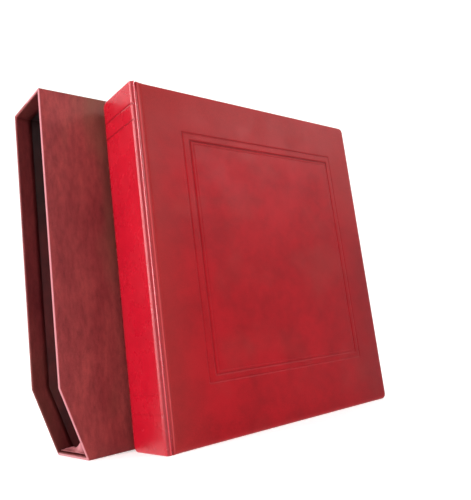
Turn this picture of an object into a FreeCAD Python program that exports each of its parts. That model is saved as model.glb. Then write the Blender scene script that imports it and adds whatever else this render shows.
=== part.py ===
# Stamp album with a ring mechanism and stock leaves, standing upright in front of its empty slipcase.
#
# Row frame: +Z up, +X from the album's spine to its fore-edge, +Y from the album's front to the slipcase.
# The origin is the middle of the footprint that the album and the slipcase stand on together.
# Album pieces are drawn in the album's own frame: x from the spine's outer face, y from the middle of the
# thickness, z from the bottom edge. Slipcase pieces are drawn from the slipcase's lower mouth corner.
# The album's front and back halves mirror each other in y.
import FreeCAD, Part
import math
import os

from FreeCAD import Vector

# ---------------------------------------------------------------- driving dimensions, in millimetres
# Album, outside
album_width = 236.0           # spine to fore-edge
album_depth = 48.6            # front cover's face to back cover's face
album_height = 261.0
cover_corner_radius = 4.5     # fore-edge corners of both covers

# Case binding, layer by layer
covering_thickness = 0.8      # leatherette
padding_thickness = 1.6       # foam under the cover's leatherette
board_thickness = 2.2
lining_thickness = 0.5        # cloth lining inside the spine
endpaper_thickness = 0.2
endpaper_border = 5.0         # turned-in leatherette left showing round each endpaper
layer_corner_radius = 0.5     # least rounding of a cover layer's corners

# Joints between spine and covers
joint_crease_beyond = 0.7     # crease line beyond the spine's lining
joint_gap = 2.0               # between the spine's shoulder and the cover's edge
joint_strip_clearance = 0.1
joint_axis_proud = 0.1        # the crease turns just outside the covering
joint_strip_thickness = 0.8
spine_edge_flat = 0.1         # straight edge left beside the shoulder's rounding

# Ring mechanism
mechanism_end_margin = 10.5   # album's edge to the housing's end, at the top and the bottom
ring_count = 4
ring_end_margin = 27.0        # housing's end to the nearest ring
ring_wire_diameter = 2.6
ring_cover_clearance = 2.3    # closed ring to endpaper
ring_lift = 3.0               # lowest point of the ring's circle above the spine lining
ring_foot_angle = 38.6        # from the circle's lowest point to where the wire drops to its blade, degrees
ring_tip_gap = 0.1
ring_open_angle = 6.0         # each half ring's swing about the blades' seam, degrees
blade_thickness = 0.8
blade_lift = 1.7              # blade's underside above the spine lining
blade_seam = 0.3              # between the two blades
blade_end_margin = 4.0        # housing end to blade end
blade_overhang = 1.4          # blade beyond the wire's centre line
housing_sheet = 0.8
housing_wall_clearance = 0.3  # blade edge to housing wall
housing_wall_height = 3.5
housing_arch_rise = 2.0
ring_slot_clearance = 0.5
rivet_end_margin = 36.0       # housing's end to the rivet
rivet_shank_diameter = 4.0
rivet_head_diameter = 7.0
rivet_head_height = 1.2
rivet_head_rounding = 0.7
rivet_backing_diameter = 9.0
rivet_backing_height = 0.6
rivet_hole_clearance = 0.1
rivet_blade_clearance = 1.6

# Triggers at both ends of the mechanism
trigger_height = 17.0
trigger_width = 13.0
trigger_sheet = 1.4
trigger_end_gap = 0.9         # housing end to lever
trigger_pad_height = 4.5
trigger_pad_width = 18.0
trigger_pad_thickness = 2.4
trigger_pad_corner = 1.5
trigger_axis_lift = 1.9       # pin's centre above the spine lining
trigger_hub_radius = 1.5
trigger_pin_diameter = 1.6
trigger_pin_clearance = 0.05
trigger_ear_sheet = 1.0
trigger_ear_clearance = 0.25
trigger_ear_root = 2.5        # ear inside the housing's end

# Stock leaves
leaf_count = 10
leaf_fore_edge_margin = 4.5   # fore-edge of the covers to the leaf that stands out furthest
leaf_card_thickness = 0.6
leaf_corner_radius = 4.0
leaf_hole_diameter = 7.6
leaf_hole_margin = 8.0        # leaf's inner edge to its hole's centre
ring_fill = 0.60              # sine of the ring angle at which the outermost leaf hangs
strip_count = 5               # pockets on each face of a leaf
strip_thickness = 0.2
strip_gap = 9.2               # between one pocket and the next
strip_side_margin = 6.0
strip_inner_margin = 17.0
strip_end_margin = 12.0       # leaf's lower edge to the lowest pocket

# Slipcase, layer by layer, and how the album sits in it
case_covering = 0.5
case_board = 1.8
case_lining = 0.2
case_mouth_covering = 0.4     # leatherette over the boards' edges round the mouth
case_turn_in = 12.0           # leatherette turned inside the mouth
case_turn_in_thickness = 0.3
case_clearance_depth = 0.7    # each face of the album
case_clearance_height = 2.0   # above and below the album
case_clearance_end = 1.5      # album's fore-edge to the closed end
case_cut_width = 17.0         # slanted lower corner of the mouth
case_cut_height = 51.0

# How the two stand
case_gap = 6.0                # back of the album to the slipcase
case_shift = 46.0             # slipcase's mouth beyond the album's spine

cut_past = 1.0                # how far a cutting shape runs past what it cuts

# ---------------------------------------------------------------- places worked out from them
half_depth = album_depth / 2
cover_thickness = covering_thickness + padding_thickness + board_thickness + endpaper_thickness
spine_inside = covering_thickness + board_thickness + lining_thickness
joint_groove_x = spine_inside + joint_crease_beyond
cover_start = joint_groove_x + joint_gap / 2
shoulder_end = joint_groove_x - joint_gap / 2 + joint_strip_clearance
spine_shoulder_radius = shoulder_end - spine_edge_flat
joint_axis_y = half_depth + joint_axis_proud

wire_radius = ring_wire_diameter / 2
ring_radius = half_depth - cover_thickness - ring_cover_clearance - wire_radius
ring_centre_x = spine_inside + ring_lift + ring_radius
ring_foot_y = ring_radius * math.sin(math.radians(ring_foot_angle))
ring_foot_x = ring_centre_x - ring_radius * math.cos(math.radians(ring_foot_angle))
housing_low = mechanism_end_margin
housing_high = album_height - mechanism_end_margin
mechanism_length = housing_high - housing_low
ring_spacing = (mechanism_length - 2 * ring_end_margin) / (ring_count - 1)
ring_heights = [housing_low + ring_end_margin + i * ring_spacing for i in range(ring_count)]
blade_low = spine_inside + blade_lift
blade_top = blade_low + blade_thickness
blade_axis_x = blade_low + blade_thickness / 2
blade_edge = ring_foot_y + blade_overhang
housing_half_width = blade_edge + housing_wall_clearance + housing_sheet
housing_shoulder_x = spine_inside + housing_wall_height
housing_top_x = housing_shoulder_x + housing_arch_rise
rivet_heights = [housing_low + rivet_end_margin, housing_high - rivet_end_margin]

trigger_axis_x = spine_inside + trigger_axis_lift
trigger_axis_offset = trigger_end_gap + trigger_sheet / 2

leaf_half_stack = ring_radius * ring_fill
leaf_pitch = 2 * leaf_half_stack / (leaf_count - 1)
leaf_height = mechanism_length     # so the triggers swing clear past the leaves' ends
leaf_low = housing_low
leaf_inner_reach = ring_centre_x + ring_radius - leaf_hole_margin
leaf_width = album_width - leaf_fore_edge_margin - leaf_inner_reach
strip_pitch = (leaf_height - 2 * strip_end_margin) / strip_count

case_wall = case_covering + case_board + case_lining
case_width = album_width + case_clearance_end + case_wall
case_depth = album_depth + 2 * (case_clearance_depth + case_wall)
case_height = album_height + 2 * (case_clearance_height + case_wall)

album_left = (case_shift - album_width) / 2
album_middle_y = case_depth / -2 - case_gap / 2
case_left = album_left - case_shift
case_front = album_middle_y + half_depth + case_gap

UP = Vector(0, 0, 1)
ALONG_X = Vector(1, 0, 0)
ALONG_Y = Vector(0, 1, 0)


# ---------------------------------------------------------------- shapes
def block(x_range, y_range, z_range):
    """A box between two limits along each axis."""
    (x0, x1), (y0, y1), (z0, z1) = x_range, y_range, z_range
    return Part.makeBox(x1 - x0, y1 - y0, z1 - z0, Vector(x0, y0, z0))


def prism_y(points, y0, y1):
    """A flat outline of (x, z) points, made solid from y0 to y1."""
    corners = [Vector(x, y0, z) for x, z in points]
    return Part.Face(Part.makePolygon(corners + corners[:1])).extrude(Vector(0, y1 - y0, 0))


def rod(diameter, start, direction, length):
    return Part.makeCylinder(diameter / 2, length, start, direction)


def mirrored(shape):
    """The same piece on the other side of the album's thickness."""
    return shape.mirror(Vector(0, 0, 0), ALONG_Y)


def plate(x_range, y_range, z_range, radius):
    """An upright plate in the XZ plane whose two corners at the larger x are rounded."""
    (x0, x1), (y0, y1), (z0, z1) = x_range, y_range, z_range
    diagonal = radius * (1 - math.sqrt(0.5))
    low_arc = Part.Arc(
        Vector(x1 - radius, y0, z0), Vector(x1 - diagonal, y0, z0 + diagonal), Vector(x1, y0, z0 + radius)
    )
    high_arc = Part.Arc(
        Vector(x1, y0, z1 - radius), Vector(x1 - diagonal, y0, z1 - diagonal), Vector(x1 - radius, y0, z1)
    )
    edges = [
        Part.LineSegment(Vector(x0, y0, z0), Vector(x1 - radius, y0, z0)).toShape(),
        low_arc.toShape(),
        Part.LineSegment(Vector(x1, y0, z0 + radius), Vector(x1, y0, z1 - radius)).toShape(),
        high_arc.toShape(),
        Part.LineSegment(Vector(x1 - radius, y0, z1), Vector(x0, y0, z1)).toShape(),
        Part.LineSegment(Vector(x0, y0, z1), Vector(x0, y0, z0)).toShape(),
    ]
    return Part.Face(Part.Wire(edges)).extrude(Vector(0, y1 - y0, 0))


# ---------------------------------------------------------------- album: case binding
def cover_layer(inset, y0, y1):
    """One layer of the front cover, set in from the cover's outline."""
    radius = max(cover_corner_radius - inset, layer_corner_radius)
    return plate(
        (cover_start + inset, album_width - inset), (y0, y1), (inset, album_height - inset), radius
    )


def front_cover_pieces():
    face = -half_depth
    under_covering = face + covering_thickness
    under_padding = under_covering + padding_thickness
    inner = under_padding + board_thickness
    hollow = cover_layer(covering_thickness, under_covering, inner)
    return {
        "covering": cover_layer(0, face, inner).cut(hollow),
        "padding": cover_layer(covering_thickness, under_covering, under_padding),
        "board": cover_layer(covering_thickness, under_padding, inner),
        "endpaper": cover_layer(endpaper_border, inner, inner + endpaper_thickness),
    }


def front_joint_pieces():
    """The leatherette in the crease outside the joint, and the lining cloth inside it."""
    outer_x = (shoulder_end, cover_start - joint_strip_clearance)
    inner_x = (spine_inside, cover_start - joint_strip_clearance)
    face = -half_depth + joint_strip_thickness / 2
    inner = -half_depth + cover_thickness - endpaper_thickness
    z_range = (0, album_height)
    return {
        "joint_leatherette": block(outer_x, (face, face + joint_strip_thickness), z_range),
        "joint_lining": block(inner_x, (inner - lining_thickness, inner), z_range),
    }


def rounded_spine(inset):
    """The spine's outer form: a slab with both shoulders rounded, set in by the inset."""
    slab = block(
        (inset, shoulder_end), (-half_depth + inset, half_depth - inset), (inset, album_height - inset)
    )
    shoulders = [
        e for e in slab.Edges
        if abs(e.BoundBox.ZLength - (album_height - 2 * inset)) < 1e-6 and e.BoundBox.XMax < inset + 1e-6
    ]
    return slab.makeFillet(spine_shoulder_radius - inset, shoulders)


def rivet_holes():
    """What the two rivets pass through, with clearance."""
    holes = []
    for z in rivet_heights:
        shank = rivet_shank_diameter + 2 * rivet_hole_clearance
        backing = rivet_backing_diameter + 2 * rivet_hole_clearance
        holes.append(rod(shank, Vector(0, 0, z), ALONG_X, housing_top_x + rivet_head_height))
        holes.append(rod(backing, Vector(0, 0, z), ALONG_X, covering_thickness + rivet_backing_height))
    return Part.makeCompound(holes)


def spine_pieces():
    inside = rounded_spine(covering_thickness)
    open_side = block(
        (covering_thickness + spine_shoulder_radius / 2, shoulder_end + cut_past),
        (-half_depth + covering_thickness, half_depth - covering_thickness),
        (covering_thickness, album_height - covering_thickness),
    )
    hollow = inside.fuse(open_side).removeSplitter()
    board_outer = (covering_thickness, covering_thickness + board_thickness)
    board_zone = block(board_outer, (-album_depth, album_depth), (-cut_past, album_height + cut_past))
    lining_side = half_depth - covering_thickness - spine_shoulder_radius
    lining = block(
        (board_outer[1], spine_inside),
        (-lining_side, lining_side),
        (covering_thickness, album_height - covering_thickness),
    )
    return {
        "spine_leatherette": rounded_spine(0).cut(hollow),
        "spine_board": hollow.common(board_zone).cut(rivet_holes()),
        "spine_lining": lining.cut(rivet_holes()),
    }


# ---------------------------------------------------------------- album: ring mechanism
def arch_outline(half_width, shoulder_x, top_x, z):
    """Section of the housing: two short walls joined by a shallow arch."""
    crown = Part.Arc(
        Vector(shoulder_x, -half_width, z), Vector(top_x, 0, z), Vector(shoulder_x, half_width, z)
    )
    wall = [Vector(shoulder_x, half_width, z), Vector(spine_inside, half_width, z)]
    foot = [wall[1], Vector(spine_inside, -half_width, z)]
    other = [foot[1], Vector(shoulder_x, -half_width, z)]
    sides = [Part.LineSegment(a, b).toShape() for a, b in (wall, foot, other)]
    return Part.Face(Part.Wire([crown.toShape()] + sides))


def trigger_ears(end_z, outward):
    """Two ears that stand out from one end of the housing and hold the trigger's pin."""
    reach = outward * (trigger_axis_offset + trigger_hub_radius)
    z_range = sorted((end_z - outward * trigger_ear_root, end_z + reach))
    x_range = (spine_inside, housing_top_x - housing_sheet)
    ears = []
    for side in (-1, 1):
        near = side * (trigger_width / 2 + trigger_ear_clearance)
        y_range = sorted((near, near + side * trigger_ear_sheet))
        ears.append(block(x_range, y_range, z_range))
    return ears


def housing():
    length = Vector(0, 0, mechanism_length)
    shell = arch_outline(housing_half_width, housing_shoulder_x, housing_top_x, housing_low).extrude(length)
    inner = arch_outline(
        housing_half_width - housing_sheet,
        housing_shoulder_x - housing_sheet,
        housing_top_x - housing_sheet,
        housing_low,
    ).extrude(length)
    body = shell.cut(inner)
    slot_half = wire_radius + ring_slot_clearance
    slot_low_x = blade_low - (blade_edge * math.sin(math.radians(ring_open_angle)))
    for z in ring_heights:
        for side in (-1, 1):
            y_range = sorted((side * (ring_foot_y - slot_half), side * (housing_half_width + cut_past)))
            slot_z = (z - slot_half, z + slot_half)
            body = body.cut(block((slot_low_x, housing_top_x + cut_past), y_range, slot_z))
    body = body.cut(rivet_holes())
    for end_z, outward in ((housing_low, -1), (housing_high, 1)):
        body = body.fuse(trigger_ears(end_z, outward))
        pin_z = end_z + outward * trigger_axis_offset
        body = body.cut(trigger_pin(pin_z))
    return body.removeSplitter()


def trigger_pin(z):
    half = trigger_width / 2 + trigger_ear_clearance + trigger_ear_sheet
    return rod(trigger_pin_diameter, Vector(trigger_axis_x, -half, z), ALONG_Y, 2 * half)


def trigger(end_z, outward):
    """A lever that stands up from the housing's end, with a wider thumb pad at its tip."""
    axis_z = end_z + outward * trigger_axis_offset
    z_range = (axis_z - trigger_sheet / 2, axis_z + trigger_sheet / 2)
    tip = spine_inside + trigger_height
    lever = block((trigger_axis_x, tip), (-trigger_width / 2, trigger_width / 2), z_range)
    pad_z = sorted((axis_z - outward * trigger_sheet / 2, axis_z + outward * trigger_pad_thickness))
    pad = block(
        (tip - trigger_pad_height, tip), (-trigger_pad_width / 2, trigger_pad_width / 2), tuple(pad_z)
    )
    tip_edges = [e for e in pad.Edges if e.BoundBox.XMin > tip - 1e-6]
    pad = pad.makeFillet(trigger_pad_corner, [e for e in tip_edges if e.BoundBox.ZLength > trigger_sheet])
    hub_start = Vector(trigger_axis_x, -trigger_width / 2, axis_z)
    hub = rod(2 * trigger_hub_radius, hub_start, ALONG_Y, trigger_width)
    bore_start = hub_start - ALONG_Y * cut_past
    bore_length = trigger_width + 2 * cut_past
    bore = rod(trigger_pin_diameter + 2 * trigger_pin_clearance, bore_start, ALONG_Y, bore_length)
    return lever.fuse([pad, hub]).cut(bore).removeSplitter()


def rivets():
    pieces = []
    for z in rivet_heights:
        start = covering_thickness
        backing = rod(rivet_backing_diameter, Vector(start, 0, z), ALONG_X, rivet_backing_height)
        shank = rod(rivet_shank_diameter, Vector(start, 0, z), ALONG_X, housing_top_x - start)
        head = rod(rivet_head_diameter, Vector(housing_top_x, 0, z), ALONG_X, rivet_head_height)
        rim = [e for e in head.Edges if e.BoundBox.XMin > housing_top_x + rivet_head_height - 1e-6]
        head = head.makeFillet(rivet_head_rounding, rim)
        pieces.append(backing.fuse([shank, head]).removeSplitter())
    return Part.makeCompound(pieces)


def front_blade():
    low = housing_low + blade_end_margin
    high = housing_high - blade_end_margin
    blade = block((blade_low, blade_top), (-blade_edge, -blade_seam / 2), (low, high))
    opening = rivet_shank_diameter / 2 + rivet_blade_clearance
    for z in rivet_heights:
        notch_z = (z - opening, z + opening)
        notch_x = (blade_low - cut_past, blade_top + cut_past)
        blade = blade.cut(block(notch_x, (-opening, 0), notch_z))
    return blade


def front_half_rings():
    """Each half ring runs from its tip at the fore-edge side round to its foot on the blade."""
    halves = []
    tip_angle = math.degrees(ring_tip_gap / 2 / ring_radius)
    sweep = 180 - ring_foot_angle - tip_angle
    for z in ring_heights:
        centre = Vector(ring_centre_x, 0, z)
        tip = Part.makeCircle(wire_radius, centre + Vector(ring_radius, 0, 0), ALONG_Y)
        face = Part.Face(Part.Wire(tip))
        face.rotate(centre, UP, -tip_angle)
        arc = face.revolve(centre, UP, -sweep)
        knee = Vector(ring_foot_x, -ring_foot_y, z)
        leg = rod(ring_wire_diameter, Vector(blade_top, -ring_foot_y, z), ALONG_X, ring_foot_x - blade_top)
        halves.append(arc.fuse([leg, Part.makeSphere(wire_radius, knee)]).removeSplitter())
    return Part.makeCompound(halves)


# ---------------------------------------------------------------- album: leaves
def leaf_place(number):
    """Mid-plane of a leaf and the x of its holes, on the ring's circle. Leaf 1 is next to the front."""
    y = -leaf_half_stack + (number - 1) * leaf_pitch
    hole_x = ring_centre_x + math.sqrt(ring_radius**2 - y**2)
    return y, hole_x


def leaf_card(number):
    y, hole_x = leaf_place(number)
    inner = hole_x - leaf_hole_margin
    card = plate(
        (inner, inner + leaf_width),
        (y - leaf_card_thickness / 2, y + leaf_card_thickness / 2),
        (leaf_low, leaf_low + leaf_height),
        leaf_corner_radius,
    )
    for z in ring_heights:
        hole_start = Vector(hole_x, y - cut_past, z)
        card = card.cut(rod(leaf_hole_diameter, hole_start, ALONG_Y, 2 * cut_past))
    return card


def leaf_strips(number):
    y, hole_x = leaf_place(number)
    inner = hole_x - leaf_hole_margin
    x_range = (inner + strip_inner_margin, inner + leaf_width - strip_side_margin)
    strips = []
    for row in range(strip_count):
        low = leaf_low + strip_end_margin + row * strip_pitch
        z_range = (low, low + strip_pitch - strip_gap)
        for side in (-1, 1):
            face = y + side * leaf_card_thickness / 2
            y_range = sorted((face, face + side * strip_thickness))
            strips.append(block(x_range, y_range, z_range))
    return Part.makeCompound(strips)


# ---------------------------------------------------------------- slipcase
def case_outline(wall_inset, mouth_inset):
    """Outline of the slipcase's side: a rectangle whose lower mouth corner is cut on a slant."""
    slope = math.hypot(case_cut_width, case_cut_height)
    # The slanted edge is case_cut_height * x + case_cut_width * z = level, moved inwards by mouth_inset.
    level = case_cut_width * case_cut_height + mouth_inset * slope
    left = mouth_inset
    low = wall_inset
    return [
        (left, (level - case_cut_height * left) / case_cut_width),
        (left, case_height - wall_inset),
        (case_width - wall_inset, case_height - wall_inset),
        (case_width - wall_inset, low),
        ((level - case_cut_width * low) / case_cut_height, low),
    ]


def case_cavity(inset):
    """The room inside the slipcase, open past the mouth, with walls of the given thickness left."""
    x_range = (-cut_past, case_width - inset)
    return block(x_range, (inset, case_depth - inset), (inset, case_height - inset))


def case_pieces():
    outer = prism_y(case_outline(0, 0), 0, case_depth)
    boards = prism_y(
        case_outline(case_covering, case_mouth_covering), case_covering, case_depth - case_covering
    )
    board_inside = case_covering + case_board
    all_x = (-cut_past, case_width + cut_past)
    all_y = (-cut_past, case_depth + cut_past)
    all_z = (-cut_past, case_height + cut_past)
    below = block(all_x, all_y, (-cut_past, case_covering))
    covering = outer.cut(boards).cut(case_cavity(case_wall))
    walls = boards.cut(case_cavity(board_inside))
    front_zone = block(all_x, (-cut_past, board_inside), all_z)
    back_zone = block(all_x, (case_depth - board_inside, case_depth + cut_past), all_z)
    between = walls.cut(front_zone).cut(back_zone)
    end_zone = block((case_width - board_inside, case_width + cut_past), all_y, all_z)
    low_zone = block((-cut_past, case_width - board_inside), all_y, (-cut_past, board_inside + cut_past))
    high_zone = block(all_x, all_y, all_z).cut(end_zone).cut(low_zone)
    lining = boards.common(case_cavity(board_inside)).cut(case_cavity(case_wall))
    return {
        "case_front_board": walls.common(front_zone),
        "case_back_board": walls.common(back_zone),
        "case_top_board": between.common(high_zone),
        "case_bottom_board": between.common(low_zone),
        "case_end_board": between.common(end_zone),
        "case_leatherette": covering.cut(below),
        "case_bottom_leatherette": covering.common(below),
        "case_lining": lining,
        "case_mouth_turn_ins": case_turn_ins(),
    }


def case_turn_ins():
    """Leatherette turned in round the mouth: on both side boards, under the top and on the bottom."""
    inset = case_wall + case_turn_in_thickness
    edge = case_outline(inset, case_mouth_covering)
    further = case_outline(inset - cut_past, case_mouth_covering + case_turn_in)
    pieces = []
    for y in (case_wall, case_depth - case_wall - case_turn_in_thickness):
        strip = prism_y(edge, y, y + case_turn_in_thickness)
        rest = prism_y(further, y - cut_past, y + case_turn_in_thickness + cut_past)
        pieces.append(strip.cut(rest))
    inner = (case_wall + case_turn_in_thickness, case_depth - case_wall - case_turn_in_thickness)
    top = case_height - case_wall
    mouth = (case_mouth_covering, case_mouth_covering + case_turn_in)
    pieces.append(block(mouth, inner, (top - case_turn_in_thickness, top)))
    bottom = (case_cut_width + case_mouth_covering, case_cut_width + case_mouth_covering + case_turn_in)
    pieces.append(block(bottom, inner, (case_wall, case_wall + case_turn_in_thickness)))
    return Part.makeCompound(pieces)


# ---------------------------------------------------------------- everything, in the row frame
def album_nodes():
    nodes = {}
    for name, shape in {**front_cover_pieces(), **front_joint_pieces()}.items():
        nodes["front_" + name] = shape
        nodes["back_" + name] = mirrored(shape)
    nodes.update(spine_pieces())
    nodes["mechanism_housing"] = housing()
    nodes["mechanism_rivets"] = rivets()
    nodes["blade_front"] = front_blade()
    nodes["blade_back"] = mirrored(nodes["blade_front"])
    nodes["half_rings_front"] = front_half_rings()
    nodes["half_rings_back"] = mirrored(nodes["half_rings_front"])
    for name, end_z, outward in (("bottom", housing_low, -1), ("top", housing_high, 1)):
        nodes["trigger_" + name] = trigger(end_z, outward)
        nodes["trigger_pin_" + name] = trigger_pin(end_z + outward * trigger_axis_offset)
    for number in range(1, leaf_count + 1):
        nodes[f"leaf_{number:02d}_card"] = leaf_card(number)
        nodes[f"leaf_{number:02d}_strips"] = leaf_strips(number)
    return nodes


def write_nodes(nodes, offset):
    for name, shape in nodes.items():
        placed = shape.copy()
        placed.translate(offset)
        placed.exportStep(os.path.join("parts", name + ".step"))


def main():
    os.makedirs("parts", exist_ok=True)
    write_nodes(album_nodes(), Vector(album_left, album_middle_y, 0))
    write_nodes(case_pieces(), Vector(case_left, case_front, 0))


main()
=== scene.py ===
"""Looks of the stamp album and its slipcase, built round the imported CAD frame.

Sizes are in millimetres and become metres when a mesh is made; the studio's are in metres. Album pieces are
drawn in the album's own frame: x from the spine's face to the fore-edge, y from the middle of the thickness,
z from the bottom edge. Slipcase pieces are drawn from the slipcase's lower mouth corner.
"""

import math

import bmesh
import bpy
import numpy as np
from mathutils import Matrix, Vector, noise


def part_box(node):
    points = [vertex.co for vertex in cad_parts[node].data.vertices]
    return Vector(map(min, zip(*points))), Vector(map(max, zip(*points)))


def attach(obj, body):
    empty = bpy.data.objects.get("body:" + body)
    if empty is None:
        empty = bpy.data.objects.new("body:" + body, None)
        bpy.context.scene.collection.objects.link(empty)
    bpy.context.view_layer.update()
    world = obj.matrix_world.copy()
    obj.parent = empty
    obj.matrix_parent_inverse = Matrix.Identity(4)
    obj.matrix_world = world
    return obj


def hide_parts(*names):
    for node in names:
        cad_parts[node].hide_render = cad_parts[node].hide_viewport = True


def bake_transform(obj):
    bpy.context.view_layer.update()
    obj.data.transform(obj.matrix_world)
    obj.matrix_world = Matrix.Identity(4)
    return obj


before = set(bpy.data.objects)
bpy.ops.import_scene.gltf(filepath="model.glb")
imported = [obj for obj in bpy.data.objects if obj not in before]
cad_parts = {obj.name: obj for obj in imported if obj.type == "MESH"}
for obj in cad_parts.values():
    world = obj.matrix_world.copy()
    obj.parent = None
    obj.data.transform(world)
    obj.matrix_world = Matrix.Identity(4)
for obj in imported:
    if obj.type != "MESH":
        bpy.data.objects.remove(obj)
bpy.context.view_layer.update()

MM = 0.001


# ------------------------------------------------------------------------------------ places from the frame
def box_mm(node):
    low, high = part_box(node)
    return np.array(low) / MM, np.array(high) / MM


SPINE_LOW, SPINE_HIGH = box_mm("spine_leatherette")
_, COVER_HIGH = box_mm("front_covering")
BOARD_LOW, _ = box_mm("front_board")
ENDPAPER_LOW, ENDPAPER_HIGH = box_mm("front_endpaper")
SPINE_LINING_LOW, SPINE_LINING_HIGH = box_mm("spine_lining")
JOINT_LOW, JOINT_HIGH = box_mm("front_joint_leatherette")
CASE_LOW, CASE_HIGH = box_mm("case_leatherette")
CASE_BOTTOM_LOW, _ = box_mm("case_bottom_leatherette")
CASE_TURN_IN_LOW, _ = box_mm("case_mouth_turn_ins")

ALBUM_LEFT = SPINE_LOW[0]
ALBUM_MIDDLE = (SPINE_LOW[1] + SPINE_HIGH[1]) / 2
ALBUM_HALF = (SPINE_HIGH[1] - SPINE_LOW[1]) / 2
ALBUM_HEIGHT = SPINE_HIGH[2]
ALBUM_WIDTH = COVER_HIGH[0] - ALBUM_LEFT
BOARD_START = BOARD_LOW[0] - ALBUM_LEFT
COVER_INNER = COVER_HIGH[1] - ALBUM_MIDDLE
ENDPAPER_INNER = ENDPAPER_HIGH[1] - ALBUM_MIDDLE
CREASE_X = (JOINT_LOW[0] + JOINT_HIGH[0]) / 2 - ALBUM_LEFT
SPINE_BACK = SPINE_LINING_LOW[0] - ALBUM_LEFT
SPINE_INSIDE = SPINE_LINING_HIGH[0] - ALBUM_LEFT
ENDPAPER_START = ENDPAPER_LOW[0] - ALBUM_LEFT

CASE_ORIGIN = np.array([CASE_LOW[0], CASE_LOW[1], CASE_BOTTOM_LOW[2]])
CASE_LENGTH = CASE_HIGH[0] - CASE_LOW[0]
CASE_DEPTH = CASE_HIGH[1] - CASE_LOW[1]
CASE_HEIGHT = CASE_HIGH[2] - CASE_BOTTOM_LOW[2]
CASE_WALL = CASE_TURN_IN_LOW[1] - CASE_LOW[1]
CASE_CUT_WIDTH = CASE_BOTTOM_LOW[0] - CASE_LOW[0]


# ------------------------------------------------------------------------------------ meshes
def album_place(points):
    """Album millimetres to row-frame metres."""
    return (points + np.array([ALBUM_LEFT, ALBUM_MIDDLE, 0.0])) * MM


def case_place(points):
    return (points + CASE_ORIGIN) * MM


def quads(index):
    """Faces of a grid of point numbers."""
    cells = (index[:-1, :-1], index[:-1, 1:], index[1:, 1:], index[1:, :-1])
    return np.stack(cells, -1).reshape(-1, 4)


def strip_faces(first, second, closed):
    """Faces between two rows of point numbers."""
    pair = np.stack([first, second])
    if closed:
        pair = np.hstack([pair, pair[:, :1]])
    return quads(pair)


def make_piece(name, points, faces, values=None):
    """A closed mesh from row-frame points, with its normals outward and named values on its points."""
    mesh = bpy.data.meshes.new(name)
    mesh.from_pydata(points.tolist(), [], [list(map(int, f)) for f in faces])
    for key, numbers in (values or {}).items():
        attribute = mesh.attributes.new(key, "FLOAT", "POINT")
        attribute.data.foreach_set("value", np.asarray(numbers, np.float32))
    work = bmesh.new()
    work.from_mesh(mesh)
    bmesh.ops.remove_doubles(work, verts=work.verts, dist=1e-7)
    bmesh.ops.recalc_face_normals(work, faces=work.faces)
    work.to_mesh(mesh)
    work.free()
    mesh.shade_smooth()
    piece = bpy.data.objects.new(name, mesh)
    bpy.context.scene.collection.objects.link(piece)
    return piece


def shell(name, outer, inner, closed=False, values=None, merged_end=False):
    """A sheet with thickness: two grids of points, joined along their open edges.

    A merged end has its last row folded on to one line, so it has no edge there.
    """
    rows, columns = outer.shape[:2]
    count = rows * columns
    index = np.arange(count).reshape(rows, columns)
    grid = np.hstack([index, index[:, :1]]) if closed else index
    faces = [quads(grid), quads(grid)[:, ::-1] + count]
    for row in (0,) if merged_end else (0, -1):
        faces.append(strip_faces(index[row], index[row] + count, closed))
    if not closed:
        for column in (0, -1):
            faces.append(strip_faces(index[:, column], index[:, column] + count, False))
    points = np.concatenate([outer.reshape(-1, 3), inner.reshape(-1, 3)])
    doubled = {k: np.concatenate([v.ravel(), v.ravel()]) for k, v in (values or {}).items()}
    return make_piece(name, points, np.concatenate(faces), doubled)


def smooth(t):
    t = np.clip(t, 0, 1)
    return t * t * (3 - 2 * t)


def quarter_round(distance, radius):
    """How far a rounded edge has dropped at a distance in from the outline."""
    away = np.clip(1 - distance / radius, 0, 1)
    return radius * (1 - np.sqrt(1 - away * away))


EDGE_SPACING = 0.1                      # least share of the fine spacing between lines, on rounded edges
FACE_SPACING = 0.55                     # and elsewhere


def levels(low, high, spacing, marks=(), reach=1.8, fine=0.3, rounding=0.0):
    """Grid lines from low to high: even, closer round each mark, and closer still on rounded edges."""
    values = list(np.linspace(low, high, max(2, round((high - low) / spacing) + 1)))
    for mark in marks:
        values += list(np.arange(mark - reach, mark + reach + fine / 2, fine))
    for angle in np.radians(np.arange(9, 90, 9)):
        if rounding:
            values += [low + rounding * (1 - math.cos(angle)), high - rounding * (1 - math.cos(angle))]
    kept = [low]
    for value in sorted(values):
        near = value - low < rounding or high - value < rounding
        least = fine * (EDGE_SPACING if near else FACE_SPACING)
        if value - kept[-1] > least and high - value > least:
            kept.append(value)
    return np.array(kept + [high])


def waviness(points, size, seed):
    """Smooth unevenness from -1 to 1 over bumps of the given size."""
    flat = points.reshape(-1, 3) / size + seed
    values = [noise.noise(Vector(p)) for p in flat]
    return np.array(values).reshape(points.shape[:-1])


# ------------------------------------------------------------------------------------ album covers
COVER_SKIN_START = BOARD_START - 1.5    # cover side of the crease
COVER_GRID = 3.6
COVER_SKIN = 0.7
COVER_CORNER = 4.5
JOINT_CORNER = 0.8
COVER_EDGE_RADIUS = 2.3
COVER_JOINT_RADIUS = 0.95
JOINT_FLANK = 1.65                      # sloped edge beside the crease
JOINT_FLANK_CREST = 0.75                # its steeper top
JOINT_FLANK_SLOPE = 1.15
JOINT_FLANK_FOOT_SLOPE = 0.6
JOINT_FLANK_ROUNDING = 0.15
JOINT_EDGE_FADE = 6.0                   # over which the joint edge's rounding becomes the outer edges'
COVER_CROWN = 0.9
COVER_CROWN_REACH = 28.0
COVER_FACE_DROP = 0.03
BROAD_WAVE = (34.0, 0.16)               # unevenness of the face: size and height
SMALL_WAVE = (11.0, 0.035)
WAVE_DROP = 0.1
WAVE_EDGE = 9.0                         # calm border
TURN_IN_RISE = 0.15                     # turned-in leatherette above the board's inner face
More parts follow.
